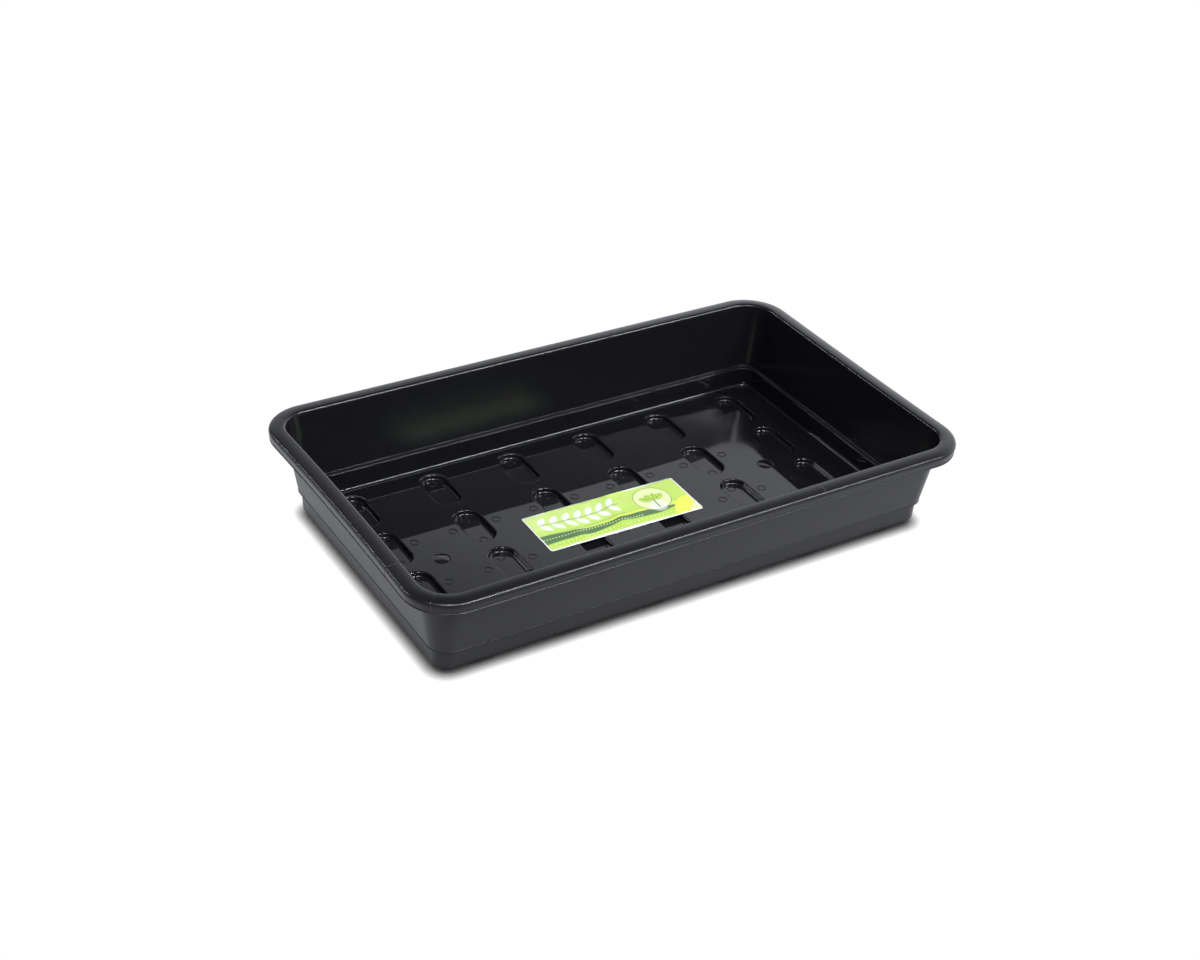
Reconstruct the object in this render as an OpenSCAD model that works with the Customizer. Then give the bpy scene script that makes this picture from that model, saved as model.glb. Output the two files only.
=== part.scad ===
// Potting soil tray: one thin plastic moulding with a turned-down rim, drafted
// walls with a ledge, and a floor that stands on a grid of hollow oblong feet.
// A printed label lies on the floor.
//
// Lengths are in millimetres and angles in degrees. The origin is on the ground
// under the middle of the tray. X runs along the length, Z points up.

/* [Overall size] */
// Length over the rim
tray_l = 562; // [440:1:700]
// Width over the rim
tray_w = 340; // [260:1:440]
// Height from the ground to the top of the rim
tray_h = 93.2; // [70:0.1:130]
// Corner radius at the outer edge of the rim
corner_r = 43; // [38:0.5:60]

/* [Rim] */
// Width of the rim, from its outer edge to the line of the inner wall
rim_w = 15.2; // [13:0.1:19]
// Thickness of the rim and its lip
rim_t = 2; // [1.5:0.1:2.5]
// Height of the turned-down lip
lip_h = 11.7; // [9:0.1:20]
// Inward lean of the lip
lip_draft = 9; // [3:0.5:12]
// Radius of the rolled outer edge
roll_r = 4; // [3:0.1:5]
// Radius of the inner edge
rim_edge_r = 3; // [1:0.1:4]
// Rounding along the bottom of the lip
lip_edge_r = 0.8; // [0.3:0.1:1]

/* [Wall] */
// Thickness of the upper wall
wall_t = 2; // [1.5:0.1:2.5]
// Inward lean of the upper wall
wall_draft = 10; // [5:0.5:11]
// Height of the ledge above the floor
ledge_h = 21.6; // [15:0.1:35]
// Width of the ledge
ledge_w = 2.9; // [2:0.1:4]
// Fall of the ledge towards the floor
ledge_fall = 2.4; // [0.5:0.1:3]
// Rounding of the two edges of the ledge
ledge_r = 0.8; // [0.3:0.1:1.2]
// Distance from the ledge down to the step in the outer face
step_drop = 3.2; // [2.5:0.1:5]
// Slope of that step
step_slope = 45; // [30:1:55]
// Rounding of the two edges of that step
step_r = 1; // [0.3:0.1:1.5]
// Thickness of the lower wall
base_t = 1.6; // [1.3:0.1:2.2]
// Inward lean of the lower wall
base_draft = 2.8; // [1:0.1:5]

/* [Floor] */
// Thickness of the floor
floor_t = 2.2; // [1.8:0.1:3]
// Fillet between the floor and the wall
floor_r = 2.5; // [1:0.1:4]
// Rounding of the bottom edge outside
base_edge_r = 2.8; // [1:0.1:3.5]

/* [Feet] */
// Height of the floor's underside above the ground
foot_h = 4.6; // [3:0.1:8]
// Width of a foot's recess in the floor
foot_w = 28; // [20:1:34]
// Length of a foot's recess in the floor
foot_l = 56; // [42:1:60]
// Spacing of the feet along the length
pitch_x = 83.7; // [76:0.1:110]
// Spacing of the feet across the width
pitch_y = 67.3; // [65:0.1:90]
// Least distance from a foot to the wall
foot_margin = 8; // [6:0.5:20]
// Thickness of a foot's sides
foot_wall = 1.6; // [1.2:0.1:2.2]
// Thickness of a foot's sole
sole_t = 1.8; // [1.2:0.1:2.4]
// Lean of a foot's sides
foot_draft = 5; // [2:0.5:10]
// Rounding of the mouth of a recess
mouth_r = 1.2; // [0.5:0.1:1.6]
// Fillet at the bottom of a recess
recess_r = 1.2; // [0.5:0.1:1.6]
// Rounding of a foot's lower edge
foot_edge_r = 2.4; // [1:0.1:2.6]

/* [Gate dishes] */
// Diameter of the dish left at each injection gate
gate_d = 16; // [10:0.5:18]
// Depth of its edge
gate_step = 0.6; // [0.2:0.1:0.7]
// Further depth at its middle
gate_dish = 0.6; // [0.2:0.1:0.8]
// Outward offset from the middle of the last gap between the feet
gate_shift = 8.9; // [0:0.1:10]

/* [Ejector marks] */
// Diameter of the marks left by the ejector pins
pin_d = 8.5; // [6:0.5:9]
// Depth of the marks
pin_depth = 0.25; // [0.1:0.05:0.5]
// Distance from the side of a recess to the marks beside it
pin_beside = 8.3; // [6:0.1:10]
// Distance from the end of a recess to the marks in it
pin_from_end = 10.5; // [8:0.1:14]

/* [Label] */
// Length of the label
label_l = 163; // [100:1:200]
// Width of the label
label_w = 58; // [40:1:90]
// Thickness of the label
label_t = 0.2; // [0.1:0.05:0.5]
// Corner radius of the label
label_r = 2.5; // [1:0.5:6]
// Offset of the label from the middle, along the length
label_x = -2.3; // [-40:0.1:40]
// Offset of the label from the middle, across the width
label_y = -7.3; // [-20:0.1:20]
// Turn of the label on the floor
label_turn = -0.9; // [-5:0.1:5]

/* [Hidden] */

// Largest distance between a true arc and its chords
arc_error = 0.04;
// Sides of a full turn
$fn = 96;
// Largest share of a wall's thickness that the rounding of its edge takes
edge_share = 0.42;
// Least radius inside a bend
bend_min = 0.4;
// How far a cutting shape reaches past the surface that it cuts
over = 1;
// How far above the floor a recess's mouth levels out, so that it meets the floor at a true edge
mouth_lift = 0.08;
// Chords from the middle of a gate dish to its edge
dish_chords = 4;

// Heights above the ground
lip_z = tray_h - lip_h;
under_z = tray_h - rim_t;
floor_top = foot_h + floor_t;
ledge_z = floor_top + ledge_h;
step_z = ledge_z - step_drop;

// Insets from the outer edge of the rim at height z
roll_s = roll_r * (1 - tan(lip_draft) - 1 / cos(lip_draft));
function lip_out(z) = roll_s + (tray_h - z) * tan(lip_draft);
function lip_in(z) = lip_out(z) + rim_t / cos(lip_draft);
function wall_in(z) = rim_w + (tray_h - z) * tan(wall_draft);
function wall_out(z) = wall_in(z) - wall_t / cos(wall_draft);
ledge_s = wall_in(ledge_z) + ledge_w;
function base_in(z) = ledge_s + (ledge_z - ledge_fall - z) * tan(base_draft);
function base_out(z) = base_in(z) - base_t / cos(base_draft);

// The step outside falls along its slope until it meets the lower wall
step_run = base_out(step_z) - wall_out(step_z);
step_fall = step_run * tan(step_slope) / (1 - tan(step_slope) * tan(base_draft));
step_end = step_z - step_fall;

// Half widths of a foot at height z, inside and outside
mouth_half = foot_w / 2 - mouth_r / tan((90 + foot_draft) / 2);
function recess_half(z) = mouth_half - (floor_top - z) * tan(foot_draft);
function foot_half(z) = recess_half(z) + foot_wall / cos(foot_draft);

// Feet that fit between the walls, with the ejector marks beside them
room_x = tray_l - 2 * base_in(floor_top) - 2 * foot_margin;
room_y = tray_w - 2 * base_in(floor_top) - 2 * foot_margin;
marks_w = foot_w + 2 * pin_beside + pin_d;
columns = floor((room_x - marks_w) / pitch_x) + 1;
rows = floor((room_y - foot_l) / pitch_y) + 1;

// Middles of the outermost gaps between the columns of feet, where the gates are
gate_x = (columns / 2 - 1) * pitch_x + gate_shift;

// Middles of the corners, about which the section turns
corner_x = tray_l / 2 - corner_r;
corner_y = tray_w / 2 - corner_r;

// --- Rounding of a closed path whose points are [x, y, radius] ---

function xy(p) = [p[0], p[1]];
function unit(v) = v / norm(v);
function turned(v, a) = [v[0] * cos(a) - v[1] * sin(a), v[0] * sin(a) + v[1] * cos(a)];
function chords(r, turn) = max(2, ceil(turn / (2 * acos(1 - min(1, arc_error / r)))));

function round_corner(before, p, after) =
    let (
        back = unit(xy(before) - xy(p)),
        ahead = unit(xy(after) - xy(p)),
        half = acos(back * ahead) / 2,
        turn = (180 - 2 * half) * sign(cross(ahead, back)),
        centre = xy(p) + unit(back + ahead) * p[2] / sin(half),
        first = xy(p) + back * p[2] / tan(half) - centre,
        count = chords(p[2], abs(turn))
    )
    [for (i = [0:count]) centre + turned(first, turn * i / count)];

function rounded(path) =
    let (n = len(path))
    [
        for (i = [0:n - 1])
            let (p = path[i])
            each p[2] > 0 ? round_corner(path[(i + n - 1) % n], p, path[(i + 1) % n]) : [xy(p)]
    ];

// --- Tray ---

// Section through the rim, wall and floor, as insets from the rim's outer edge
function section() = rounded([
    [lip_out(lip_z), lip_z, min(lip_edge_r, edge_share * rim_t)],
    [roll_s, tray_h, roll_r],
    [rim_w, tray_h, rim_edge_r],
    [wall_in(ledge_z), ledge_z, ledge_r],
    [ledge_s, ledge_z - ledge_fall, ledge_r],
    [base_in(floor_top), floor_top, floor_r],
    [corner_r, floor_top, 0],
    [corner_r, foot_h, 0],
    [base_out(foot_h), foot_h, base_edge_r],
    [base_out(step_end), step_end, step_r],
    [wall_out(step_z), step_z, step_r],
    [wall_out(under_z), under_z, max(bend_min, rim_edge_r - rim_t)],
    [lip_in(under_z), under_z, max(bend_min, roll_r - rim_t)],
    [lip_in(lip_z), lip_z, min(lip_edge_r, edge_share * rim_t)],
]);

// The section with X measured outwards from the middle of a corner
module section_outward() {
    polygon([for (p = section()) [corner_r - p[0], p[1]]]);
}

// The section carried round the tray: a quarter turn at each corner, then a straight side
module shell() {
    for (quarter = [0:3]) {
        across = quarter % 2 == 0 ? corner_x : corner_y;
        along = quarter % 2 == 0 ? corner_y : corner_x;
        rotate(90 * quarter)
            translate([across, along, 0]) {
                rotate_extrude(angle = 90)
                    section_outward();
                rotate([90, 0, 0])
                    linear_extrude(2 * along)
                        section_outward();
            }
    }
    translate([-corner_x, -corner_y, foot_h])
        cube([2 * corner_x, 2 * corner_y, floor_t]);
}

// Carries a half section round an oblong whose long axis is Y
module oblong(straight) {
    for (end = [0, 180])
        rotate(end)
            translate([0, straight / 2, 0])
                rotate_extrude(angle = 180)
                    children();
    translate([0, straight / 2, 0])
        rotate([90, 0, 0])
            linear_extrude(straight) {
                children();
                mirror([1, 0])
                    children();
            }
}

// Outside of a foot, rooted halfway up the floor
module foot_body() {
    root_z = foot_h + floor_t / 2;
    oblong(foot_l - foot_w)
        polygon(rounded([
            [0, 0, 0],
            [foot_half(0), 0, foot_edge_r],
            [foot_half(root_z), root_z, 0],
            [0, root_z, 0],
        ]));
}

// Inside of a foot, open at the top
module foot_recess() {
    level = floor_top + mouth_lift;
    rim = foot_w / 2 + mouth_r;
    oblong(foot_l - foot_w)
        polygon(rounded([
            [0, sole_t, 0],
            [recess_half(sole_t), sole_t, recess_r],
            [recess_half(level), level, mouth_r],
            [rim, level, 0],
            [rim, level + over, 0],
            [0, level + over, 0],
        ]));
}

// Places its children at every foot
module at_feet() {
    for (column = [0:columns - 1])
        for (row = [0:rows - 1])
            translate([
                (column - (columns - 1) / 2) * pitch_x,
                (row - (rows - 1) / 2) * pitch_y,
                0
            ])
                children();
}

// Shallow dish with an upright edge, cut into the floor at a gate
module gate() {
    middle = floor_top - gate_step - gate_dish;
    rotate_extrude()
        polygon([
            for (i = [0:dish_chords])
                [gate_d / 2 * i / dish_chords, middle + gate_dish * pow(i / dish_chords, 2)],
            [gate_d / 2, floor_top + over],
            [0, floor_top + over],
        ]);
}

// Round mark of an ejector pin in a surface at height z
module pin_mark(z) {
    translate([0, 0, z - pin_depth])
        cylinder(d = pin_d, h = pin_depth + over);
}

// The two marks beside a foot and the two inside it
module foot_marks() {
    for (side = [-1, 1]) {
        translate([side * (foot_w / 2 + pin_beside), 0, 0])
            pin_mark(floor_top);
        translate([0, side * (foot_l / 2 - pin_from_end), 0])
            pin_mark(sole_t);
    }
}

module tray() {
    color([0.07, 0.07, 0.075])
        difference() {
            union() {
                shell();
                at_feet()
                    foot_body();
            }
            at_feet()
                foot_recess();
            at_feet()
                foot_marks();
            for (side = [-1, 1])
                translate([side * gate_x, 0, 0])
                    gate();
        }
}

// --- Label ---

module label() {
    x = label_l / 2;
    y = label_w / 2;
    color([0.82, 0.91, 0.5])
        translate([label_x, label_y, floor_top])
            rotate(label_turn)
                linear_extrude(label_t)
                    polygon(rounded([
                        [-x, -y, label_r],
                        [x, -y, label_r],
                        [x, y, label_r],
                        [-x, y, label_r],
                    ]));
}

tray();
label();
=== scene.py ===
# %% [markdown]
# # A black potting tray, dressed for the camera
#
# The tray is one thin moulding of black plastic with a printed label lying in it. Its sizes come
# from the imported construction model, which loads first as a fixed frame. This script then gives
# it what a photograph shows: edges with their true rounding, a floor full of moulded marks, a
# polished inside against a satin outside, and a label with its own small waves.

import math

import bmesh
import bpy
from mathutils import Matrix, Vector
from mathutils.geometry import delaunay_2d_cdt


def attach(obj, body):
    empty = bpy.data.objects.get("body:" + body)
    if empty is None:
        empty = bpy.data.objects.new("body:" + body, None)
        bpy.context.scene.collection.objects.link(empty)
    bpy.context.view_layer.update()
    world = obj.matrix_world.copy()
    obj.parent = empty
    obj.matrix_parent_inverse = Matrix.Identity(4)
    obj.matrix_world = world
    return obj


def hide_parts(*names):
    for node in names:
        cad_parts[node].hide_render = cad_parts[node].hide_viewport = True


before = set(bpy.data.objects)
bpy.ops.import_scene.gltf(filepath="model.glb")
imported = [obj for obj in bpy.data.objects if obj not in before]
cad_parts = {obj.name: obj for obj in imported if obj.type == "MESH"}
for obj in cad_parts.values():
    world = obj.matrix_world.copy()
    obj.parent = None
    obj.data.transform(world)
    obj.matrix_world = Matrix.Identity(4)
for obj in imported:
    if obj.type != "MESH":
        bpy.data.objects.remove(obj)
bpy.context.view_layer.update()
MM = 0.001

# %% [markdown]
# ## The camera
#
# A photograph of a box shows enough straight edges to work back to the camera that took it. The
# numbers below come from such a fit: the lens looks down at the near left corner, with a slight
# roll. Turning the camera by azimuth, then tilt, then roll keeps each of them readable.

# %% Camera
PHOTO_WIDTH = 1200
FOCAL_PIXELS = 1887.0
AZIMUTH, ELEVATION, ROLL = math.radians(-33.2), math.radians(32.577), math.radians(3.54)
CAMERA_PLACE = (-0.8118, -1.2188, 0.9739)

lens = bpy.data.cameras.new("photo_camera")
lens.sensor_width = 36
lens.lens = lens.sensor_width * FOCAL_PIXELS / PHOTO_WIDTH
camera = bpy.data.objects.new("photo_camera", lens)
bpy.context.scene.collection.objects.link(camera)
camera.matrix_world = (
    Matrix.Translation(CAMERA_PLACE)
    @ Matrix.Rotation(AZIMUTH, 4, "Z")
    @ Matrix.Rotation(math.pi / 2 - ELEVATION, 4, "X")
    @ Matrix.Rotation(ROLL, 4, "Z")
)
bpy.context.scene.camera = camera
print(f"lens {lens.lens:.1f} mm")

# %% [markdown]
# ## Writing node trees as expressions
#
# Both the shape and the finish of the tray are node trees. Adding nodes one call at a time hides
# the sum that they work out, so a small class wraps a socket and lets Python's own operators add
# the Math nodes. Anything else comes from one method that takes a node's type, its settings and
# the values or links of its sockets.


# %% Socket arithmetic
class Value:
    """A socket that takes part in arithmetic."""

    def __init__(self, tree, socket):
        self.tree, self.socket = tree, socket

    def math(self, operation, *others):
        return self.tree.sum(operation, self, *others)

    def __add__(self, other):
        return self.math("ADD", other)

    def __sub__(self, other):
        return self.math("SUBTRACT", other)

    def __rsub__(self, other):
        return self.tree.sum("SUBTRACT", other, self)

    def __mul__(self, other):
        return self.math("MULTIPLY", other)

    def __truediv__(self, other):
        return self.math("DIVIDE", other)

    def __rtruediv__(self, other):
        return self.tree.sum("DIVIDE", other, self)

    def __neg__(self):
        return self * -1

    __radd__ = __add__
    __rmul__ = __mul__

    def __gt__(self, other):
        return self.math("GREATER_THAN", other)

    def __lt__(self, other):
        return self.math("LESS_THAN", other)

    def floor(self):
        return self.math("FLOOR")

    def round(self):
        return self.math("ROUND")

    def sign(self):
        return self.math("SIGN")

    def cos(self):
        return self.math("COSINE")

    def sin(self):
        return self.math("SINE")

    def abs(self):
        return self.math("ABSOLUTE")

    def __rpow__(self, base):
        return self.tree.sum("POWER", base, self)

    def power(self, exponent):
        return self.math("POWER", exponent)

    def at_most(self, other):
        return self.math("MINIMUM", other)

    def at_least(self, other):
        return self.math("MAXIMUM", other)

    def clamped(self):
        return self.at_least(0.0).at_most(1.0)

    def between(self, low, high):
        """0 at low, 1 at high, and a straight line between."""
        return ((self - low) / (high - low)).clamped()

    def toward(self, other, share):
        """This value at share 0, the other at share 1."""
        return self + (other - self) * share


class Tree:
    """Adds nodes to a tree."""

    def __init__(self, nodes_of):
        self.nodes_of = nodes_of

    def add(self, kind, settings=None, **sockets):
        """Adds a node. A socket goes by its name, with _ for a space, or by number, as s0."""
        node = self.nodes_of.nodes.new(kind)
        for name, value in (settings or {}).items():
            setattr(node, name, value)
        for name, value in sockets.items():
            numbered = name[0] == "s" and name[1:].isdigit()
            self.feed(node.inputs[int(name[1:]) if numbered else name.replace("_", " ")], value)
        return node

    def feed(self, socket, value):
        for one in value if isinstance(value, list) else [value]:
            if isinstance(one, Value):
                self.nodes_of.links.new(one.socket, socket)
            else:
                socket.default_value = one

    def out(self, node, name=0):
        return Value(self, node.outputs[name])

    def get(self, kind, settings=None, output=0, **sockets):
        return self.out(self.add(kind, settings, **sockets), output)

    def sum(self, operation, *values):
        numbered = {f"s{i}": value for i, value in enumerate(values)}
        return self.get("ShaderNodeMath", {"operation": operation}, **numbered)

    def vector(self, x=0.0, y=0.0, z=0.0):
        return self.get("ShaderNodeCombineXYZ", X=x, Y=y, Z=z)

    def split(self, vector):
        node = self.add("ShaderNodeSeparateXYZ", Vector=vector)
        return [self.out(node, axis) for axis in "XYZ"]


GEOMETRY, NUMBER, WHOLE = "NodeSocketGeometry", "NodeSocketFloat", "NodeSocketInt"
OBJECT, MATERIAL = "NodeSocketObject", "NodeSocketMaterial"


def new_geometry_tree(name, inputs):
    """A geometry tree, with its inputs as (name, socket type) pairs."""
    group = bpy.data.node_groups.new(name, "GeometryNodeTree")
    for label, kind in inputs:
        group.interface.new_socket(label, in_out="INPUT", socket_type=kind)
    group.interface.new_socket("Geometry", in_out="OUTPUT", socket_type=GEOMETRY)
    tree = Tree(group)
    source = tree.add("NodeGroupInput")
    return tree, {label: tree.out(source, label) for label, _ in inputs}


def end_tree(tree, geometry):
    tree.add("NodeGroupOutput", Geometry=geometry)
    print(f"tree {tree.nodes_of.name}: {len(tree.nodes_of.nodes)} nodes")
    return tree.nodes_of


print("socket arithmetic ready")

# %% [markdown]
# ## The section of the moulding
#
# Cut the rim, the wall and the floor across, and the whole tray is one folded strip about 2 mm
# thick. A mould maker draws that strip once, with straight lines and a radius at each bend, so it
# is drawn that way here. Insets are measured from the outer edge of the rim, heights from the
# ground. A point on the flat just outside each bend keeps the smooth shading of the bend
# from spilling over the flat: on a glossy surface that would show at once.

# %% Sizes, in millimetres
TRAY_L, TRAY_W, TRAY_H, CORNER_R = 562.0, 340.0, 93.2, 43.0
RIM_W, RIM_T, LIP_H, LIP_DRAFT, ROLL_R, RIM_EDGE_R = 15.2, 2.0, 11.7, 9.0, 4.0, 3.0
WALL_T, WALL_DRAFT, BASE_T, BASE_DRAFT = 2.0, 10.0, 1.6, 2.8
LEDGE_H, LEDGE_W, LEDGE_FALL, STEP_DROP = 21.6, 2.9, 2.4, 3.2
FLOOR_T, FLOOR_R, BASE_EDGE_R = 2.2, 2.5, 2.8
FOOT_H, FOOT_W, FOOT_L, FOOT_WALL, SOLE_T, FOOT_DRAFT = 4.6, 28.0, 56.0, 1.6, 1.8, 5.0
MOUTH_R, RECESS_R, FOOT_EDGE_R = 1.6, 2.8, 2.4
PITCH_X, PITCH_Y, COLUMNS, ROWS = 83.7, 67.3, 6, 4
GATE_D, GATE_STEP, GATE_DOME, GATE_X = 16.0, 0.7, 0.6, 176.3
PIN_D, PIN_DEPTH, PIN_RISE, PIN_BESIDE, PIN_FROM_END = 8.5, 0.3, 0.04, 8.3, 10.5

FLOOR_TOP = FOOT_H + FLOOR_T
LEDGE_Z = FLOOR_TOP + LEDGE_H
UNDER_Z = TRAY_H - RIM_T
LIP_Z = TRAY_H - LIP_H


def slope(degrees):
    return math.tan(math.radians(degrees))


def across(thickness, degrees):
    """The level width of a wall of that thickness which leans by that angle."""
    return thickness / math.cos(math.radians(degrees))


# Where the lip's outer line would meet the top, so that its roll just reaches the outer edge.
ROLL_CLEAR = 0.08
ROLL_S = ROLL_R * (1 - slope(LIP_DRAFT) - across(1, LIP_DRAFT)) + ROLL_CLEAR


def lip_out(z):
    return ROLL_S + (TRAY_H - z) * slope(LIP_DRAFT)


def lip_in(z):
    return lip_out(z) + across(RIM_T, LIP_DRAFT)


def wall_in(z):
    return RIM_W + (TRAY_H - z) * slope(WALL_DRAFT)


def wall_out(z):
    return wall_in(z) - across(WALL_T, WALL_DRAFT)


LEDGE_S = wall_in(LEDGE_Z) + LEDGE_W


def base_in(z):
    return LEDGE_S + (LEDGE_Z - LEDGE_FALL - z) * slope(BASE_DRAFT)


def base_out(z):
    return base_in(z) - across(BASE_T, BASE_DRAFT)


STEP_Z = LEDGE_Z - STEP_DROP
STEP_END = STEP_Z - (base_out(STEP_Z) - wall_out(STEP_Z)) / (1 - slope(BASE_DRAFT))
MOUTH_HALF = FOOT_W / 2 - MOUTH_R / slope((90 + FOOT_DRAFT) / 2)


def recess_half(z):
    return MOUTH_HALF - (FLOOR_TOP - z) * slope(FOOT_DRAFT)


def foot_half(z):
    return recess_half(z) + across(FOOT_WALL, FOOT_DRAFT)


floor_l, floor_w = (outer - 2 * base_in(FLOOR_TOP) for outer in (TRAY_L, TRAY_W))
print(f"inner floor {floor_l:.1f} by {floor_w:.1f} mm")

# %% Rounding a path
FINE_STEP, COARSE_STEP, SMALL_R = math.radians(12), math.radians(26), 0.5
GUARD = 0.25


def bend_at(path, i):
    """The start, middle, end and turn of the arc at corner i, or None where it has no radius."""
    x, y, radius, _ = path[i]
    if radius == 0:
        return None
    here = Vector((x, y))
    back = (Vector(path[i - 1][:2]) - here).normalized()
    ahead = (Vector(path[i + 1][:2]) - here).normalized()
    half = back.angle(ahead) / 2
    middle = here + (back + ahead).normalized() * radius / math.sin(half)
    start, end = (here + way * radius / math.tan(half) for way in (back, ahead))
    return start, middle, end, -(start - middle).angle_signed(end - middle)


def rounded(path):
    """The points of a path of (x, y, radius, polish) corners. A corner's polish is that of the
    stretch that follows it, and it changes over the bend. A point on the flat guards each bend."""
    bends = [bend_at(path, i) for i in range(len(path))]
    points = []
    for i, ((x, y, radius, polish), bend) in enumerate(zip(path, bends)):
        if bend is None:
            points.append((x, y, polish))
            continue
        start, middle, end, turn = bend
        before = path[i - 1][3]
        last = bends[i - 1][2] if bends[i - 1] else Vector(path[i - 1][:2])
        following = bends[i + 1][0] if bends[i + 1] else Vector(path[i + 1][:2])
        step_angle = FINE_STEP if radius > SMALL_R else COARSE_STEP
        count = max(3, math.ceil(abs(turn) / step_angle))
        if (start - last).length > 3 * GUARD:
            points.append((*(start + (last - start).normalized() * GUARD), before))
        for step in range(count + 1):
            spoke = Matrix.Rotation(turn * step / count, 2) @ (start - middle)
            points.append((*(middle + spoke), before + (polish - before) * step / count))
        if (following - end).length > 3 * GUARD:
            points.append((*(end + (following - end).normalized() * GUARD), polish))
    return points


def draw_section(name, points):
    """A section as a row of points on a helper object, X outwards and Y up."""
    mesh = bpy.data.meshes.new(name)
    mesh.from_pydata([(x * MM, y * MM, 0) for x, y, _ in points], [], [])
    polish = mesh.attributes.new("polish", "FLOAT", "POINT")
    polish.data.foreach_set("value", [p for _, _, p in points])
    print(f"section {name}: {len(points)} points")
    return bpy.data.objects.new(name, mesh)


print("bends drawn in steps of", round(math.degrees(FINE_STEP)), "degrees")

# %% The tray's own section
SATIN, RIM, WALL, POLISHED = 0.0, 0.5, 0.7, 1.0
# The rim's top is a low crown: the angle of its fall inwards and outwards, then place and radius.
CROWN_IN, CROWN_OUT, CROWN_X, CROWN_R = 6.0, 12.0, 8.8, 25.0
crown_bend = math.radians((CROWN_IN + CROWN_OUT) / 2)
# The corner that the crown rounds off lies above it. This puts the crown itself a hair under the
# height of the construction model.
crown_top = TRAY_H - 0.03 + CROWN_R * (1 / math.cos(crown_bend) - 1) * 0.96
FLOOR_EDGE = base_in(FLOOR_TOP) + FLOOR_R + 1.5
# How far the fine bead stands out along the lip's lower edge and along the outer step.
BEAD = 0.6

wall_path = [
    # Up the outside: the base, the step with its bead, the wall, and down inside the lip.
    (FLOOR_EDGE, FOOT_H, 0, SATIN),
    (base_out(FOOT_H), FOOT_H, BASE_EDGE_R, SATIN),
    (base_out(STEP_END), STEP_END, 1.0, SATIN),
    (wall_out(STEP_Z) - BEAD, STEP_Z + 0.1, 0.35, RIM),
    (wall_out(STEP_Z + 0.65), STEP_Z + 0.65, 0.25, SATIN),
    (wall_out(UNDER_Z), UNDER_Z, RIM_EDGE_R - RIM_T, SATIN),
    (lip_in(UNDER_Z), UNDER_Z, ROLL_R - RIM_T, SATIN),
    # Round the lip's lower edge with its bead, then over the roll and the crown.
    (lip_in(LIP_Z), LIP_Z, 0.8, RIM),
    (lip_out(LIP_Z) - BEAD, LIP_Z, 0.2, RIM),
    (lip_out(LIP_Z) - BEAD, LIP_Z + 0.4, 0.3, RIM),
    (lip_out(LIP_Z + 0.9), LIP_Z + 0.9, 0.25, RIM),
    (ROLL_S, crown_top - (CROWN_X - ROLL_S) * slope(CROWN_OUT), ROLL_R, RIM),
    (CROWN_X, crown_top, CROWN_R, RIM),
    (RIM_W, crown_top - (RIM_W - CROWN_X) * slope(CROWN_IN), RIM_EDGE_R, WALL),
    # Down the inside: the wall, the ledge, the base wall and the floor.
    (wall_in(LEDGE_Z), LEDGE_Z, 0.55, POLISHED),
    (LEDGE_S, LEDGE_Z - LEDGE_FALL, 0.6, POLISHED),
    (base_in(FLOOR_TOP), FLOOR_TOP, FLOOR_R, POLISHED),
    (FLOOR_EDGE, FLOOR_TOP, 0, POLISHED),
]
wall_section = draw_section("wall_section", [(-s, z, p) for s, z, p in rounded(wall_path)])

# %% [markdown]
# ## The sections of the small forms
#
# Every foot, ejector mark and gate dish is a small section too, carried round an oval or a
# circle. Here X is measured outwards from that outline. A form that closes at its middle runs
# all the way in: a mark is a fine groove, and a dish rises again to a low dome.

# %% Sections of feet, marks and gates
MOUTH_RADIUS, SHEET_INSET = FOOT_W / 2, 5.2
PIN_RADIUS, GATE_RADIUS = PIN_D / 2, GATE_D / 2


def section_round(radius, name, path):
    """A section whose corners are given by their distance from the middle of the outline."""
    return draw_section(name, [(x - radius, y, p) for x, y, p in rounded(path)])


recess_section = section_round(
    MOUTH_RADIUS,
    "recess_section",
    [
        (MOUTH_RADIUS + 0.5, FLOOR_TOP, 0, POLISHED),
        (MOUTH_HALF, FLOOR_TOP, MOUTH_R, POLISHED),
        (recess_half(SOLE_T), SOLE_T, RECESS_R, POLISHED),
        (MOUTH_RADIUS - SHEET_INSET, SOLE_T, 0, POLISHED),
    ],
)
foot_section = section_round(
    MOUTH_RADIUS,
    "foot_section",
    [
        (0, 0, 0, SATIN),
        (foot_half(0), 0, FOOT_EDGE_R, SATIN),
        (foot_half(FOOT_H), FOOT_H, 0.5, SATIN),
        (MOUTH_RADIUS + 3, FOOT_H, 0, SATIN),
    ],
)


def mark_section(name, level):
    """A round mark: a fine groove where the end of a pin met the mould."""
    return section_round(
        PIN_RADIUS,
        name,
        [
            (PIN_RADIUS + 0.6, level, 0, POLISHED),
            (PIN_RADIUS + 0.1, level, 0.2, POLISHED),
            (PIN_RADIUS - 0.4, level - PIN_DEPTH, 0.2, POLISHED),
            (PIN_RADIUS - 1.1, level - PIN_RISE, 0.3, POLISHED),
            (0, level - PIN_RISE, 0, POLISHED),
        ],
    )


floor_mark_section = mark_section("floor_mark_section", FLOOR_TOP)
sole_mark_section = mark_section("sole_mark_section", SOLE_T)

gate_low, DOME_SHARE = FLOOR_TOP - GATE_STEP, 0.9
gate_dome = [
    (GATE_RADIUS * share, gate_low + GATE_DOME * (1 - (share / DOME_SHARE) ** 2), 0, POLISHED)
    for share in (0.8, 0.7, 0.6, 0.5, 0.4, 0.3, 0.2, 0.1, 0.0)
]
gate_section = section_round(
    GATE_RADIUS,
    "gate_section",
    [
        (GATE_RADIUS + 0.5, FLOOR_TOP, 0, POLISHED),
        (GATE_RADIUS, FLOOR_TOP, 0.3, POLISHED),
        (GATE_RADIUS * DOME_SHARE, gate_low, 0.3, POLISHED),
        *gate_dome,
    ],
)

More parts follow.
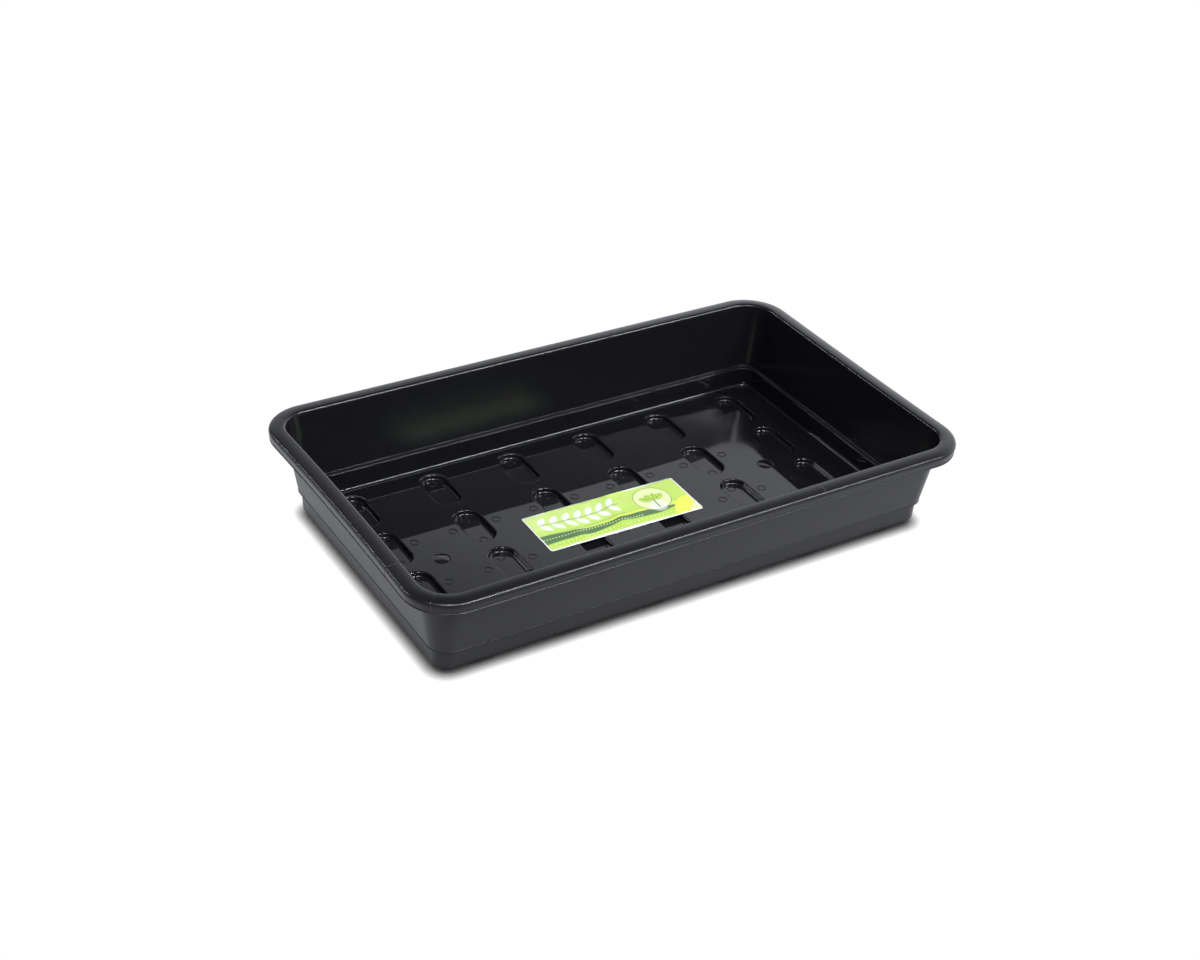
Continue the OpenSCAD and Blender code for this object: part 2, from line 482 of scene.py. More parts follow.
# %% [markdown]
# ## Carrying a section round an outline
#
# A rounded rectangle, an oval and a circle are the same outline: arcs about a few corner points,
# joined by straight runs. Curve to Mesh could sweep the section, but it turns it by the
# average of two chords where an arc meets a straight run, and on a polished wall that shows as a
# kink. So the group works each place out. A grid has one column for each place on the outline
# and one row for each point of the section. Its arithmetic gives every column its corner and
# its exact direction, and the section's own points give the offset and the height.

# %% The carrying group
carry, given = new_geometry_tree(
    "carry_section",
    [
        ("Section", OBJECT),
        ("Arcs", WHOLE),
        ("Chords", WHOLE),
        ("Points between", WHOLE),
        ("Corner X", NUMBER),
        ("Corner Y", NUMBER),
        ("Radius", NUMBER),
    ],
)
section = carry.get("GeometryNodeObjectInfo", output="Geometry", Object=given["Section"])
size = carry.add("GeometryNodeAttributeDomainSize", Geometry=section)
rows = carry.out(size, "Point Count")
places = given["Arcs"] * (given["Chords"] + 1 + given["Points between"])
grid = carry.get(
    "GeometryNodeMeshGrid",
    Size_X=places,
    Size_Y=rows - 1,
    Vertices_X=places + 1,
    Vertices_Y=rows,
)
grid_x, grid_y, _ = carry.split(carry.get("GeometryNodeInputPosition"))
place = (grid_x + places / 2).round()
row = (grid_y + (rows - 1) / 2).round()

per_arc = given["Chords"] + 1 + given["Points between"]
arc = ((place + 0.5) / per_arc).floor()
step = place - arc * per_arc
quarter = 2 * math.pi / given["Arcs"]
angle = (arc + (step / given["Chords"]).at_most(1.0)) * quarter
run = (step - given["Chords"]).at_least(0.0) / (given["Points between"] + 1)


def corner_of(number):
    """The corner point that an arc turns about."""
    facing = (number + 0.5) * quarter
    return given["Corner X"] * facing.cos().sign(), given["Corner Y"] * facing.sin().sign()


here_x, here_y = corner_of(arc)
next_x, next_y = corner_of(arc + 1)
point_of = {"data_type": "FLOAT_VECTOR", "domain": "POINT"}
point = carry.get(
    "GeometryNodeSampleIndex",
    point_of,
    Geometry=section,
    Value=carry.get("GeometryNodeInputPosition"),
    Index=row,
)
outward, height, _ = carry.split(point)
reach = given["Radius"] + outward
polish = carry.get(
    "GeometryNodeSampleIndex",
    {"data_type": "FLOAT", "domain": "POINT"},
    Geometry=section,
    Value=carry.get("GeometryNodeInputNamedAttribute", {"data_type": "FLOAT"}, Name="polish"),
    Index=row,
)
polished_grid = carry.get(
    "GeometryNodeStoreNamedAttribute",
    {"data_type": "FLOAT", "domain": "POINT"},
    Geometry=grid,
    Name="polish",
    Value=polish,
)
carried = carry.get(
    "GeometryNodeSetPosition",
    Geometry=polished_grid,
    Position=carry.vector(
        here_x.toward(next_x, run) + reach * angle.cos(),
        here_y.toward(next_y, run) + reach * angle.sin(),
        height,
    ),
)
WELD = 2e-6
carry_group = end_tree(
    carry, carry.get("GeometryNodeMergeByDistance", Geometry=carried, Distance=WELD)
)

# %% [markdown]
# ## Flat sheets between the forms
#
# The floor is a flat sheet with a hole for every foot and mark. The carried forms already end in
# open rings at its level, so the rings themselves are the outline: the group picks the open edges
# at one level, turns them into curves and fills between them. No hole is placed twice, so none
# can miss its rim.

# %% The sheet group
pour, given = new_geometry_tree(
    "pour_sheet", [("Geometry", GEOMETRY), ("Level", NUMBER), ("Polish", NUMBER)]
)
faces_beside = pour.get("GeometryNodeInputMeshEdgeNeighbors")
_, _, edge_height = pour.split(pour.get("GeometryNodeInputPosition"))
open_here = (faces_beside < 1.5) * ((edge_height - given["Level"]).abs() < 5e-6)
rings = pour.get("GeometryNodeMeshToCurve", Mesh=given["Geometry"], Selection=open_here)
sheet = pour.get("GeometryNodeFillCurve", {"mode": "TRIANGLES"}, Curve=rings)
lifted = pour.get(
    "GeometryNodeSetPosition", Geometry=sheet, Offset=pour.vector(z=given["Level"])
)
sheet_group = end_tree(
    pour,
    pour.get(
        "GeometryNodeStoreNamedAttribute",
        {"data_type": "FLOAT", "domain": "POINT"},
        Geometry=lifted,
        Name="polish",
        Value=given["Polish"],
    ),
)

# %% [markdown]
# ## The moulding
#
# The tray is the wall section carried round, one foot repeated on a grid of six by four, two
# gate dishes, and two sheets that join them. Real mouldings of this size bow inwards along their
# free edges as they cool, and this one does so at its short ends, so the last step
# leans the upper wall a little. The tree is made once and gives one plain mesh.

# %% The moulding tree's inputs
moulding, given = new_geometry_tree(
    "moulding",
    [
        ("Wall section", OBJECT),
        ("Recess section", OBJECT),
        ("Foot section", OBJECT),
        ("Floor mark section", OBJECT),
        ("Sole mark section", OBJECT),
        ("Gate section", OBJECT),
        ("Half length", NUMBER),
        ("Half width", NUMBER),
        ("Height", NUMBER),
        ("Corner radius", NUMBER),
        ("Foot radius", NUMBER),
        ("Foot half run", NUMBER),
        ("Pitch X", NUMBER),
        ("Pitch Y", NUMBER),
        ("Columns", WHOLE),
        ("Rows", WHOLE),
        ("Mark radius", NUMBER),
        ("Mark beside foot", NUMBER),
        ("Mark along foot", NUMBER),
        ("Gate radius", NUMBER),
        ("Gate from middle", NUMBER),
        ("Floor level", NUMBER),
        ("Sole level", NUMBER),
        ("Underside level", NUMBER),
        ("Bow left", NUMBER),
        ("Bow right", NUMBER),
        ("Plastic", MATERIAL),
    ],
)

print("inputs of the moulding:", len(given))


# %% The moulding tree
def carried_round(section, radius, chords, arcs=1, between=0, corner_x=0.0, corner_y=0.0):
    """A section carried round a circle or, with more arcs than one, an oval or a rectangle."""
    return moulding.get(
        "GeometryNodeGroup",
        {"node_tree": carry_group},
        Section=given[section],
        Arcs=arcs,
        Chords=chords,
        Points_between=between,
        Corner_X=corner_x,
        Corner_Y=corner_y,
        Radius=radius,
    )


def filled(geometry, level, polish):
    group = {"node_tree": sheet_group}
    return moulding.get(
        "GeometryNodeGroup", group, Geometry=geometry, Level=given[level], Polish=polish
    )


def joined(*parts):
    return moulding.get("GeometryNodeJoinGeometry", Geometry=list(parts))


def both_ways(geometry, x=None, y=None):
    """The geometry moved by x or y, and again by as much the other way."""
    moved = [
        moulding.get(
            "GeometryNodeTransform",
            Geometry=geometry,
            Translation=moulding.vector(x * way if x else 0.0, y * way if y else 0.0),
        )
        for way in (1.0, -1.0)
    ]
    return joined(*moved)


wall = carried_round(
    "Wall section",
    given["Corner radius"],
    corner_x=given["Half length"] - given["Corner radius"],
    corner_y=given["Half width"] - given["Corner radius"],
    arcs=4,
    chords=20,
    between=16,
)
oval = {"corner_y": given["Foot half run"], "arcs": 2}
recess = carried_round("Recess section", given["Foot radius"], chords=14, between=3, **oval)
foot = carried_round("Foot section", given["Foot radius"], chords=10, between=2, **oval)
floor_mark = carried_round("Floor mark section", given["Mark radius"], chords=20)
sole_mark = carried_round("Sole mark section", given["Mark radius"], chords=20)
gate = carried_round("Gate section", given["Gate radius"], chords=32)

recess = joined(recess, both_ways(sole_mark, y=given["Mark along foot"]))
unit = joined(
    recess,
    filled(recess, "Sole level", POLISHED),
    foot,
    both_ways(floor_mark, x=given["Mark beside foot"]),
)
foot_places = moulding.get(
    "GeometryNodeMeshGrid",
    Size_X=given["Pitch X"] * (given["Columns"] - 1),
    Size_Y=given["Pitch Y"] * (given["Rows"] - 1),
    Vertices_X=given["Columns"],
    Vertices_Y=given["Rows"],
)
feet = moulding.get("GeometryNodeInstanceOnPoints", Points=foot_places, Instance=unit)
feet = moulding.get("GeometryNodeRealizeInstances", Geometry=feet)
forms = joined(wall, feet, both_ways(gate, x=given["Gate from middle"]))
body = joined(
    forms, filled(forms, "Floor level", POLISHED), filled(forms, "Underside level", SATIN)
)

# %% The bow of the upper wall
along_x, along_y, up_z = moulding.split(moulding.get("GeometryNodeInputPosition"))
rise = up_z.between(given["Floor level"], given["Height"])
from_corner = 1 - (along_y / given["Half width"]).power(2)
end_share = (along_x / given["Half length"]).power(2)
lean = given["Bow right"] * (along_x > 0) - given["Bow left"] * (along_x < 0)
bowed = moulding.get(
    "GeometryNodeSetPosition",
    Geometry=body,
    Offset=moulding.vector(-(lean * rise * from_corner * end_share)),
)
welded = moulding.get("GeometryNodeMergeByDistance", Geometry=bowed, Distance=WELD)
smooth = moulding.get("GeometryNodeSetShadeSmooth", Geometry=welded)
moulding_group = end_tree(
    moulding,
    moulding.get(
        "GeometryNodeSetMaterial",
        Geometry=moulding.get("GeometryNodeRealizeInstances", Geometry=smooth),
        Material=given["Plastic"],
    ),
)

# %% [markdown]
# ## Black plastic, polished inside and satin outside
#
# The colour of black plastic is nearly nothing: what a photograph shows of it is the room in its
# surface. Inside, the mould was polished, so the floor mirrors the wall behind it, with a slow
# waviness left by cooling. The outside came from a fine spark-worn mould and only glows, and the
# rim lies between the two. One shader does all three: the polish value that each section carried
# onto the mesh decides between them.

# %% The plastic
def new_material(name):
    material = bpy.data.materials.new(name)
    material.use_nodes = True
    material.node_tree.nodes.clear()
    return material, Tree(material.node_tree)


plastic, tree = new_material("black_tray_plastic")
place_on = tree.get("ShaderNodeTexCoord", output="Object")
polish = tree.get("ShaderNodeAttribute", {"attribute_name": "polish"}, output="Fac")


def noise(tree, vector, scale, detail=2.0, roughness=0.5):
    """Noise between 0 and 1, with features about one over scale metres across."""
    return tree.get(
        "ShaderNodeTexNoise", Vector=vector, Scale=scale, Detail=detail, Roughness=roughness
    )


def bump(height, strength, distance, below=None):
    """A surface raised by height, over what the bump below it does."""
    under = {"Normal": below} if below else {}
    return tree.get(
        "ShaderNodeBump", Strength=strength, Distance=distance, Height=height, **under
    )


def hairline(offset, half_width):
    """1 on a fine line where the offset is 0, fading to 0 at its edges."""
    return 1 - offset.abs().between(0.0, half_width)


cooling_waves = noise(tree, place_on, 22.0, 1.0)
flow_marks = noise(tree, place_on, 90.0, 3.0)
grain = noise(tree, place_on, 2200.0, 2.0)
smears = noise(tree, place_on, 35.0, 4.0, 0.6)
polished_share = polish.between(RIM, POLISHED)
across_x, across_y, above = tree.split(place_on)

# One wide swelling in the floor, near the right gate, that bends what the floor mirrors.
WARP_X, WARP_Y, WARP_SPREAD, WARP_RISE, FLOOR_LIMIT = 0.190, 0.078, 0.036, 0.0011, 0.01
from_warp = (across_x - WARP_X).power(2) + (across_y - WARP_Y).power(2)
narrowing = -1 / (2 * WARP_SPREAD**2 * math.log(2))
warp = 2.0 ** (from_warp * narrowing) * (above < FLOOR_LIMIT)

# The mould's joints: fine lines across the rim and a mitre at each corner.
JOINTS_ALONG, JOINT_AT_END = ((-166.0, 1), (88.0, 1), (112.0, -1)), -97.0
JOINT_HALF, MITRE_HALF, JOINT_DEPTH = 0.8 * MM, 1.1 * MM, 0.00025
LEFT_RIM, SIDE_RIM, MITRE_FROM, MITRE_ABOVE, RIM_ABOVE = -0.26, 0.155, 0.018, 0.080, 0.078
joint_lines = hairline(across_y - JOINT_AT_END * MM, JOINT_HALF) * (across_x < LEFT_RIM)
for joint_x, side in JOINTS_ALONG:
    on_side = across_y * side > SIDE_RIM
    joint_lines = joint_lines + hairline(across_x - joint_x * MM, JOINT_HALF) * on_side
beyond_x = across_x.abs() - (TRAY_L / 2 - CORNER_R) * MM
beyond_y = across_y.abs() - (TRAY_W / 2 - CORNER_R) * MM
at_corner = (beyond_x > MITRE_FROM) * (above > MITRE_ABOVE)
mitre = hairline(beyond_x - beyond_y, MITRE_HALF) * at_corner
joint_lines = (joint_lines + mitre) * (above > RIM_ABOVE)

textured = bump(cooling_waves * polished_share, 0.25, 0.0003)
textured = bump(warp, 1.0, WARP_RISE, textured)
textured = bump(grain * (1 - polished_share), 0.3, 0.00003, textured)
textured = bump(-joint_lines, 1.0, JOINT_DEPTH, textured)

satin_finish = 0.33 + flow_marks * 0.06
rim_finish = 0.28 + flow_marks * 0.06
gloss_finish = 0.02 + smears * 0.02 + warp * 0.13
outer_finish = satin_finish.toward(rim_finish, polish.between(SATIN, RIM))
roughness = outer_finish.toward(gloss_finish, polished_share)
surface = tree.get(
    "ShaderNodeBsdfPrincipled",
    Base_Color=(0.0062, 0.0063, 0.0082, 1),
    Roughness=roughness,
    IOR=1.46,
    Normal=textured,
)
tree.add("ShaderNodeOutputMaterial", Surface=surface)
print(f"{plastic.name}: {len(plastic.node_tree.nodes)} nodes")

# %% [markdown]
# ## From tree to mesh
#
# The tree runs once, on a helper, and only its result stays: a plain mesh with its faces turned
# outwards. What counts for a moulding is printed here: how many edges are open, and the volume.

# %% Making the tray's mesh
def set_inputs(modifier, values):
    """Sets a Geometry Nodes modifier's inputs by name, through their identifiers."""
    for item in modifier.node_group.interface.items_tree:
        if item.in_out == "INPUT" and item.name in values:
            modifier[item.identifier] = values[item.name]


def plain_mesh(name, group, values):
    """Runs a tree on a helper object and keeps the result as one plain mesh object."""
    helper = bpy.data.objects.new(name + "_helper", bpy.data.meshes.new(name + "_helper"))
    bpy.context.scene.collection.objects.link(helper)
    modifier = helper.modifiers.new("tree", "NODES")
    modifier.node_group = group
    set_inputs(modifier, values)
    depsgraph = bpy.context.evaluated_depsgraph_get()
    mesh = bpy.data.meshes.new_from_object(helper.evaluated_get(depsgraph), depsgraph=depsgraph)
    bpy.data.objects.remove(helper)
    return finished_object(name, mesh)


def finished_object(name, mesh):
    """Turns all faces outwards, links the mesh at the origin and prints what it is."""
    shape = bmesh.new()
    shape.from_mesh(mesh)
    bmesh.ops.recalc_face_normals(shape, faces=shape.faces)
    volume = shape.calc_volume(signed=True)
    if volume < 0:
        bmesh.ops.reverse_faces(shape, faces=shape.faces)
    open_edges = sum(not edge.is_manifold for edge in shape.edges)
    triangles = sum(len(face.verts) - 2 for face in shape.faces)
    shape.to_mesh(mesh)
    shape.free()
    mesh.name = name
    piece = bpy.data.objects.new(name, mesh)
    bpy.context.scene.collection.objects.link(piece)
    print(f"{name}: {triangles} triangles, {open_edges} open edges, {abs(volume) / MM**3:.0f} mm3")
    return piece


tray = plain_mesh(
    "tray_body",
    moulding_group,
    {
        "Wall section": wall_section,
        "Recess section": recess_section,
        "Foot section": foot_section,
        "Floor mark section": floor_mark_section,
        "Sole mark section": sole_mark_section,
        "Gate section": gate_section,
        "Half length": TRAY_L / 2 * MM,
        "Half width": TRAY_W / 2 * MM,
        "Height": TRAY_H * MM,
        "Corner radius": CORNER_R * MM,
        "Foot radius": FOOT_W / 2 * MM,
        "Foot half run": (FOOT_L - FOOT_W) / 2 * MM,
        "Pitch X": PITCH_X * MM,
        "Pitch Y": PITCH_Y * MM,
        "Columns": COLUMNS,
        "Rows": ROWS,
        "Mark radius": PIN_RADIUS * MM,
        "Mark beside foot": (FOOT_W / 2 + PIN_BESIDE) * MM,
        "Mark along foot": (FOOT_L / 2 - PIN_FROM_END) * MM,
        "Gate radius": GATE_RADIUS * MM,
        "Gate from middle": GATE_X * MM,
        "Floor level": FLOOR_TOP * MM,
        "Sole level": SOLE_T * MM,
        "Underside level": FOOT_H * MM,
        "Bow left": 3.6 * MM,
        "Bow right": 1.4 * MM,
        "Plastic": plastic,
    },
)
for section in (
    wall_section,
    recess_section,
    foot_section,
    floor_mark_section,
    sole_mark_section,
    gate_section,
):
    bpy.data.objects.remove(section)

# %% [markdown]
# ## The label
#
# A film label lies on the floor and bridges four of the feet. Film keeps the waves that it was
# laid with, and it dips a little where nothing carries it. Its top is a flat sheet of small
# triangles, each point lifted by the sum of a few smooth ridges.

# %% The label's sheet
LABEL_L, LABEL_W, LABEL_T, LABEL_R = 163.0, 58.0, 0.2, 2.5
LABEL_X, LABEL_Y, LABEL_TURN = -2.3, -7.3, math.radians(-0.9)
FILM_CLEAR, DIP = 0.05, 0.25


def label_outline():
    """Points round a rectangle with rounded corners."""
    points = []
    for corner in range(4):
        facing = math.radians(90 * corner)
        middle = Vector(
            (
                (LABEL_L / 2 - LABEL_R) * (1 if corner in (0, 3) else -1),
                (LABEL_W / 2 - LABEL_R) * (1 if corner in (0, 1) else -1),
            )
        )
        for step in range(7):
            turn = facing + math.radians(15 * step)
            points.append(middle + Vector((math.cos(turn), math.sin(turn))) * LABEL_R)
    return points


def well_inside(x, y):
    """Whether a point keeps clear of the edge, also where a corner cuts it short."""
    past_x, past_y = abs(x) - LABEL_L / 2 + LABEL_R, abs(y) - LABEL_W / 2 + LABEL_R
    return max(past_x, 0) ** 2 + max(past_y, 0) ** 2 < (LABEL_R - EDGE_CLEAR) ** 2


SHEET_STEP, EDGE_CLEAR = 2.0, 0.8
outline = label_outline()
inside = [
    Vector((x, y))
    for x in (SHEET_STEP * i - LABEL_L / 2 + 1.5 for i in range(81))
    for y in (SHEET_STEP * i - LABEL_W / 2 + 2.0 for i in range(28))
    if well_inside(x, y)
]
edges = [(i, (i + 1) % len(outline)) for i in range(len(outline))]
flat_points, _, flat_faces, *_ = delaunay_2d_cdt(outline + inside, edges, [], 1, 1e-6)


def sag(x, y):
    """How far the film dips between what carries it."""
    dip = 0.0
    for column in (-0.5, 0.5):
        for row in (-0.5, 0.5):
            beside = abs(x - column * PITCH_X) / (FOOT_W / 2)
            along = max(abs(y - row * PITCH_Y) - (FOOT_L - FOOT_W) / 2, 0) / (FOOT_W / 2)
            reach = math.hypot(beside, along)
            if reach < 1:
                dip += (1 - reach**2) ** 2
    return dip


def swell(x, middle, width):
    """A smooth ridge across the label."""
    return math.exp(-(((x - middle) / width) ** 2))


def label_height(flat, x, y):
    """The film's top, over the flat sheet and over the floor."""
    # Two creases run across it, and the back edge is lifted between them.
    lift = 1.2 * swell(flat.x, -44.0, 7.0) + 1.7 * swell(flat.x, 3.0 + flat.y / 8, 7.0)
    lift += 1.3 * swell(flat.x, -20.0, 19.0) * (flat.y / LABEL_W + 0.5) ** 2
    # Small waves all over, and a low swell near the right end.
    lift += 0.1 * (math.sin(x / 6 + y / 11) + 1) + 0.3 * swell(flat.x, 62.0, 14.0)
    return FLOOR_TOP + LABEL_T + FILM_CLEAR + lift - DIP * sag(x, y)


turned = Matrix.Rotation(LABEL_TURN, 2)
label_mesh = bpy.data.meshes.new("label_print")
spots = []
for flat in flat_points:
    x, y = turned @ flat + Vector((LABEL_X, LABEL_Y))
    spots.append((x * MM, y * MM, label_height(flat, x, y) * MM))
label_mesh.from_pydata(spots, [], flat_faces)
uv = label_mesh.uv_layers.new(name="print")
for loop in label_mesh.loops:
    flat = flat_points[loop.vertex_index]
    uv.data[loop.index].uv = (flat.x / LABEL_L + 0.5, flat.y / LABEL_W + 0.5)
label_mesh.polygons.foreach_set("use_smooth", [True] * len(label_mesh.polygons))
print(f"label sheet: {len(flat_points)} points")

# %% [markdown]
# ## The label's print
#
# A print is flat shapes of ink, one laid over the other. Each shape here is a share between 0
# and 1, worked out from the place on the sheet in millimetres, that mixes one more ink over what
# lies below: bands of field and hill with rows of seed, a sprig, a seedling in a disc, a low sun,
# and last the white edge that the cutter leaves.

# %% The print
label_film, tree = new_material("printed_label_film")
spot = tree.get("ShaderNodeUVMap", {"uv_map": "print"})
u, v, _ = tree.split(spot)
x, y = (u - 0.5) * LABEL_L, (v - 0.5) * LABEL_W
edge = ((x.abs() - LABEL_L / 2).at_least(y.abs() - LABEL_W / 2) + 1.5).between(-0.05, 0.05)


def mixed(base, top, share):
    return tree.get("ShaderNodeMix", {"data_type": "RGBA"}, output=2, s0=share, s6=base, s7=top)


def leaf(along_x, along_y, angle, length, half_width):
    """1 on a leaf that starts at the origin, points along the angle and is widest halfway."""
    c, s = math.cos(math.radians(angle)), math.sin(math.radians(angle))
    along = (along_x * c + along_y * s) / length
    aside = (along_y * c - along_x * s).abs()
    return (along * (1 - along) * 4 * half_width - aside).between(-0.12, 0.12)


def disc(from_x, from_y, radius):
    distance = (from_x.power(2) + from_y.power(2)).power(0.5)
    return (radius - distance).between(-0.15, 0.15)


LIME, FRESH, DEEP = (0.64, 0.82, 0.26, 1), (0.52, 0.75, 0.11, 1), (0.10, 0.21, 0.08, 1)
YELLOW, PALE, WHITE = (0.83, 0.86, 0.12, 1), (0.80, 0.91, 0.45, 1), (0.86, 0.87, 0.85, 1)
paper = noise(tree, tree.get("ShaderNodeTexCoord", output="Object"), 60.0, 3.0)
ground = mixed(LIME, FRESH, (u * 0.8 + (paper - 0.5) * 0.8).clamped())


def below(curve):
    """1 under a curve of y over x."""
    return (y - curve).between(0.15, -0.15)


def repeated(length):
    """Where x lies within one of many equal steps, measured from its middle."""
    return (x / length - (x / length).floor() - 0.5) * length


# Bands of field and hill under the sprig, with rows of seed.
ground = mixed(ground, FRESH, below((x / 19).sin() * 3.0 + 1.0) * 0.6)
ground = mixed(ground, YELLOW, below((x / 21).sin() * 2.6 - 7.6) * 0.75)
ground = mixed(ground, DEEP, below((x / 17).sin() * 2.2 - 9.5 - x * 0.035))
ground = mixed(ground, FRESH, below((x / 11 + 1.3).sin() * 1.4 - 17.0 + x * 0.03))
for seed_row, seed_step in ((-21.0, 4.4), (-25.0, 3.4)):
    ground = mixed(ground, PALE, disc(repeated(seed_step), y - seed_row, 0.8))
ground = mixed(ground, PALE, disc(repeated(3.1), y + 13.4 + x * 0.03, 0.75) * (x < 24.0))

# The sprig: a stem with a pair of leaves at every step along it.
SPACING, LEAF_ANGLE, LEAF_LENGTH, LEAF_HALF = 12.0, 50, 14.5, 3.3
SPRIG_START, SPRIG_END = -72.0, 12.0
on_sprig = (x > SPRIG_START) * (x < SPRIG_END)
from_stem = (y - 9.5 - (x / 18).sin() * 2.6).abs()
bud = (x / SPACING - (x / SPACING).floor()) * SPACING
one_leaf = (from_stem, LEAF_ANGLE, LEAF_LENGTH, LEAF_HALF)
leaves = leaf(bud, *one_leaf).at_least(
    leaf(bud + SPACING, *one_leaf) * (x > SPRIG_START + SPACING)
)
ground = mixed(ground, WHITE, leaves * on_sprig * 0.95)
ground = mixed(ground, DEEP, (0.4 - from_stem).between(-0.1, 0.1) * on_sprig * 0.8)
ground = mixed(ground, DEEP, disc(repeated(2.3), y + 5.2 - (x / 21).sin() * 2.0, 0.5) * on_sprig)

# A low sun in the corner, and a seedling in a pale disc beside it.
SUN_X, SUN_Y = 81.5, -29.0
ground = mixed(ground, YELLOW, disc(x - SUN_X, y - SUN_Y, 27.0))
ground = mixed(ground, PALE, disc(x - SUN_X, y - SUN_Y, 12.0))
DISC_X, DISC_Y, DISC_RADIUS, RIM_LINE = 46.0, 5.5, 18.5, 0.6
seed_x, seed_y = x - DISC_X, y - DISC_Y
ground = mixed(ground, PALE, disc(seed_x, seed_y, DISC_RADIUS))
ground = mixed(ground, WHITE, disc(seed_x, seed_y + 12.0, 9.0) * 0.6)
within = disc(seed_x, seed_y, DISC_RADIUS - RIM_LINE)
ground = mixed(ground, DEEP, disc(seed_x, seed_y, DISC_RADIUS) - within)
SLIMNESS, BORDER, MIDRIB = 0.23, 0.5, 0.4
for angle, length in ((30, 15.0), (68, 12.0)):
    blade = (seed_x.abs(), seed_y + 3.0, angle, length)
    ground = mixed(ground, DEEP, leaf(*blade, length * SLIMNESS + BORDER))
    ground = mixed(ground, FRESH, leaf(*blade, length * SLIMNESS))
    ground = mixed(ground, DEEP, leaf(*blade, MIDRIB))
shoot = (0.6 - seed_x.abs()).between(-0.1, 0.1) * (seed_y > -15.0) * (seed_y < -2.0)
ground = mixed(ground, DEEP, shoot)
color = mixed(ground, WHITE, edge)
surface = tree.get(
    "ShaderNodeBsdfPrincipled", Base_Color=color, Roughness=0.32 + paper * 0.12, IOR=1.45
)
tree.add("ShaderNodeOutputMaterial", Surface=surface)
print(f"{label_film.name}: {len(label_film.node_tree.nodes)} nodes")

# %% Giving the label its thickness
label_object = bpy.data.objects.new("label_sheet_helper", label_mesh)
bpy.context.scene.collection.objects.link(label_object)
film = label_object.modifiers.new("film", "SOLIDIFY")
film.thickness = LABEL_T * MM
film.offset = -1
depsgraph = bpy.context.evaluated_depsgraph_get()
label_solid = bpy.data.meshes.new_from_object(
    label_object.evaluated_get(depsgraph), depsgraph=depsgraph
)
bpy.data.objects.remove(label_object)
label = finished_object("label_sheet", label_solid)
label_solid.materials.append(label_film)

# %% [markdown]
# ## The table
#
# The photograph stands its object on white that runs out of sight. The floor here shows as plain
# white, darkened only where the tray keeps the light from it, and the tray's own reflections see
# it a little dimmer on the side that the room shades.

# %% The table
COOL_WHITE = (0.965, 0.985, 1.045, 1)


def whitened(tree, light_path):
    """A slightly cool white in light and reflections, a plain one behind the tray."""
    seen = tree.out(light_path, "Is Camera Ray")
    return tree.get(
        "ShaderNodeMix", {"data_type": "RGBA"}, output=2, s0=seen, s6=COOL_WHITE, s7=(1, 1, 1, 1)
    )


floor_material, tree = new_material("pale_floor")
light_path = tree.add("ShaderNodeLightPath")
seen = tree.out(light_path, "Is Camera Ray")
for ray in ("Is Glossy Ray", "Is Transmission Ray"):
    seen = seen.at_least(tree.out(light_path, ray))
lit = tree.get("ShaderNodeBsdfDiffuse", Color=(0.85, 0.85, 0.85, 1))
table_x, table_y, _ = tree.split(tree.get("ShaderNodeTexCoord", output="Object"))
DIM_X, DIM_Y, SHADOW_REACH = -0.35, -0.60, 0.0115
from_dim_side = ((table_x - DIM_X).power(2) + (table_y - DIM_Y).power(2)).power(0.5)
mirrored = from_dim_side.between(0.1, 0.75) * 0.5 + 0.5
table_light = mirrored.toward(1.0, tree.out(light_path, "Is Camera Ray"))
openness = tree.get(
    "ShaderNodeAmbientOcclusion", {"samples": 8}, output="AO", Distance=SHADOW_REACH
)
white_shown = tree.get(
    "ShaderNodeEmission",
    Color=whitened(tree, light_path),
    Strength=openness.power(3.0) * table_light * 1.01,
)
tree.add(
    "ShaderNodeOutputMaterial",
    Surface=tree.get("ShaderNodeMixShader", s0=seen, s1=lit, s2=white_shown),
)
floor_mesh = bpy.data.meshes.new("studio_floor")
FAR = 12.0
floor_corners = [(-FAR, -FAR, 0), (FAR, -FAR, 0), (FAR, FAR, 0), (-FAR, FAR, 0)]
floor_mesh.from_pydata(floor_corners, [], [(0, 1, 2, 3)])
floor_mesh.materials.append(floor_material)
studio_floor = bpy.data.objects.new("studio_floor", floor_mesh)
bpy.context.scene.collection.objects.link(studio_floor)
print("the floor reaches", FAR, "m each way")

# %% [markdown]
# ## The room around it
#
# A glossy black thing has no tone of its own, so its picture is a picture of the room. The world
# is drawn by direction: a bright backdrop behind and to the right, a dark ceiling, and four lamps
# as lit rectangles. Each lamp stands where a line of light in the photograph says that it was,
# found by following the view from the camera off that edge of the tray.

# %% The room
world = bpy.data.worlds.new("studio")
world.use_nodes = True
world.node_tree.nodes.clear()
bpy.context.scene.world = world
tree = Tree(world.node_tree)
light_path = tree.add("ShaderNodeLightPath")
right, back, up = tree.split(tree.get("ShaderNodeTexCoord", output="Generated"))
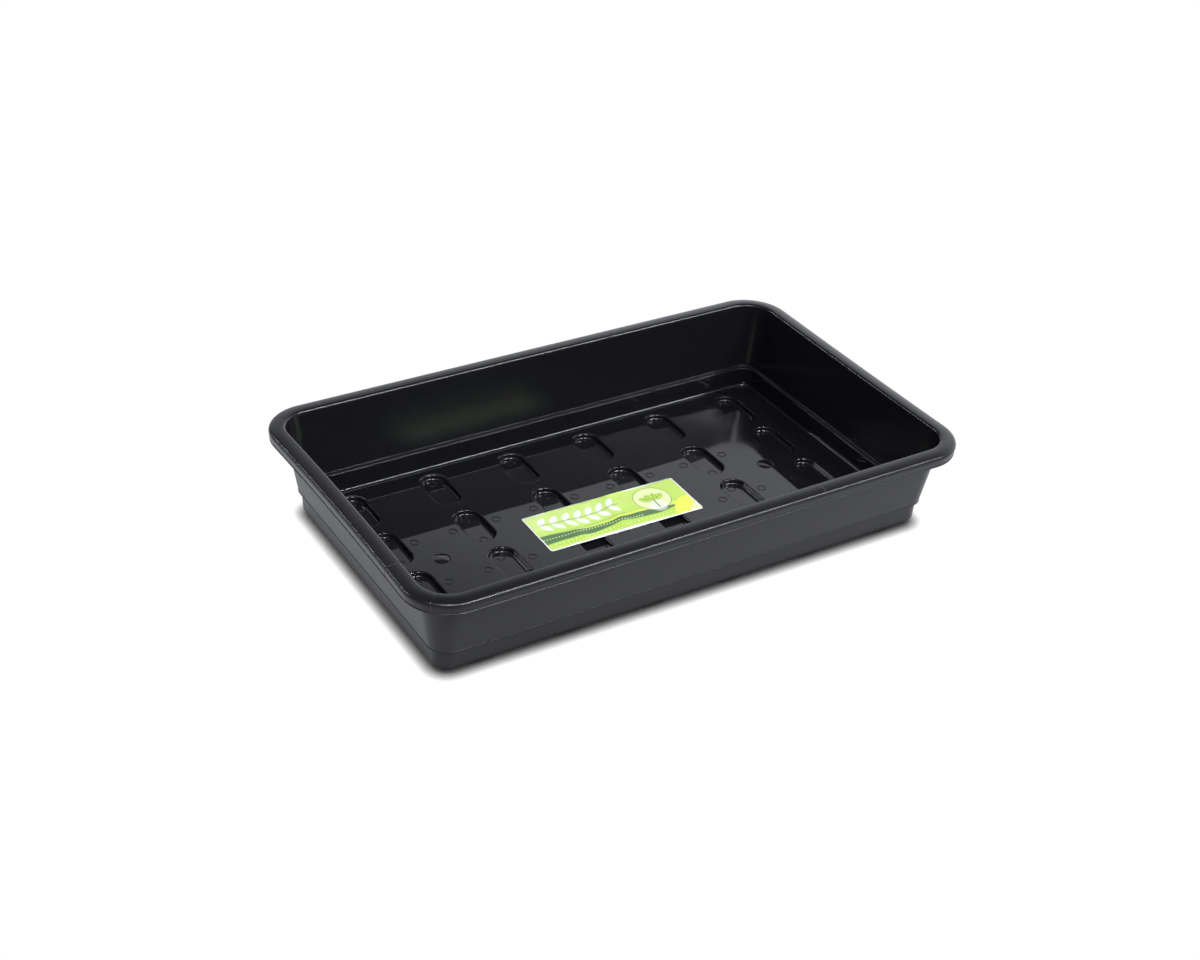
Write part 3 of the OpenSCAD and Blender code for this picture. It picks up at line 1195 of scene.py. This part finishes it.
# The backdrop ends at a ceiling whose edge, on the sky, slopes a little from left to right.
overhead = (up - (right - 0.45) * 0.14).between(0.57, 0.65)
backdrop = (0.05 + right * 2.1).at_least(0.82).at_most(1.3)
backdrop = backdrop * (1.4 - up.between(0.05, 0.4) * 0.4)
backdrop = backdrop * (right.between(-0.25, 0.1) * 0.85 + 0.15)
backdrop = backdrop * (back.between(-0.5, 0.0) * 0.7 + 0.3)
ceiling = 0.14 - up.between(0.76, 1.0) * 0.06
room = backdrop.toward(ceiling, overhead)


def softbox(azimuth, elevation, half_wide, half_high, edge):
    """1 inside a rectangle on the sky, 0 outside, with a soft edge. Angles are in degrees."""
    a, e = math.radians(azimuth), math.radians(elevation)
    level = right * math.cos(a) + back * math.sin(a)
    ahead = level * math.cos(e) + up * math.sin(e)
    sideways = (back * math.cos(a) - right * math.sin(a)) / ahead
    upwards = (up * math.cos(e) - level * math.sin(e)) / ahead
    wide = 1 - sideways.abs().between(slope(half_wide) - edge, slope(half_wide))
    high = 1 - upwards.abs().between(slope(half_high) - edge, slope(half_high))
    return wide * high * (ahead > 0.0)


# Azimuth, elevation, half width, half height and soft edge, then strength.
LAMPS = (
    (-61, 41.5, 16.0, 1.5, 0.012, 112),
    (-111, 53.0, 9.0, 3.0, 0.02, 62),
    (-148, 47.0, 20.0, 13.0, 0.12, 1.5),
    (132, 25.0, 12.0, 1.6, 0.015, 26),
)
for *place_and_size, lamp_strength in LAMPS:
    room = room + softbox(*place_and_size) * lamp_strength
seen = tree.out(light_path, "Is Camera Ray")
strength = room.toward(1.0, seen)
tree.add(
    "ShaderNodeOutputWorld",
    Surface=tree.get(
        "ShaderNodeBackground", Color=whitened(tree, light_path), Strength=strength
    ),
)
print(f"{world.name}: {len(world.node_tree.nodes)} nodes, {len(LAMPS)} lamps")

# %% [markdown]
# ## Handing over
#
# Each dressed piece takes the place of its node in the construction model and keeps that node's
# place, so the model's weight and contact shapes stay what they were. Dressing must not make
# the tray larger.

# %% Hand over to the frame
bpy.context.scene.view_settings.view_transform = "Standard"
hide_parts("tray")
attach(tray, "root")
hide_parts("label")
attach(label, "root")
